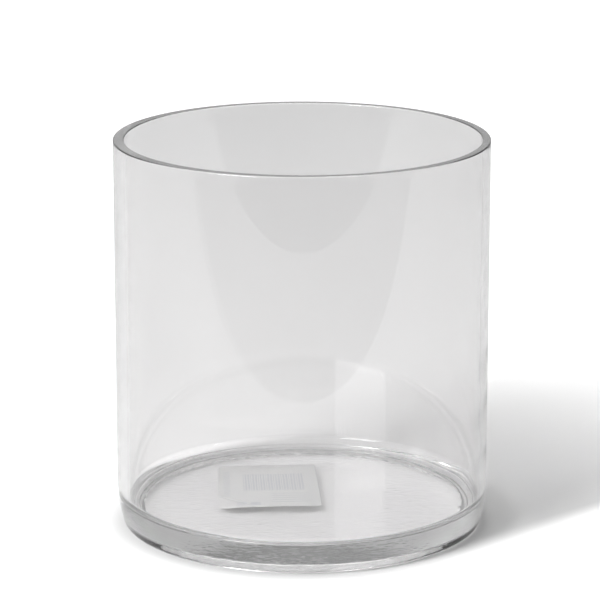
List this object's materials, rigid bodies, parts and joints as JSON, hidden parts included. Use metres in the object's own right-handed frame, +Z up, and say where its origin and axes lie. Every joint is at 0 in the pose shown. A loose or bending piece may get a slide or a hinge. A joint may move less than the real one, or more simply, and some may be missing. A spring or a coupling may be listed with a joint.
{
  "type": "glass cylinder vase",
  "caption": "Clear glass cylinder vase with a level cut rim, a thick base with a recessed underside, and a paper stock label stuck under the base.",
  "frame": {"origin": "on the ground, on the axis of the vase's outer wall, at the middle of the standing ring", "axes": "+Z up along the outer wall's axis, +X towards the thinner side of the wall"},
  "size_m": [0.19, 0.19, 0.2],
  "materials": {
    "clear_glass": "clear polished soda-lime glass, rim cut level and ground",
    "clear_adhesive": "clear pressure-sensitive acrylic adhesive",
    "label_paper": "thin coated white label paper",
    "label_ink": "matt black thermal-transfer ink"
  },
  "bodies": {
    "root": {"glass_vessel": "clear_glass", "label_adhesive": "clear_adhesive", "label_paper": "label_paper", "label_print": "label_ink"}
  },
  "joints": []
}
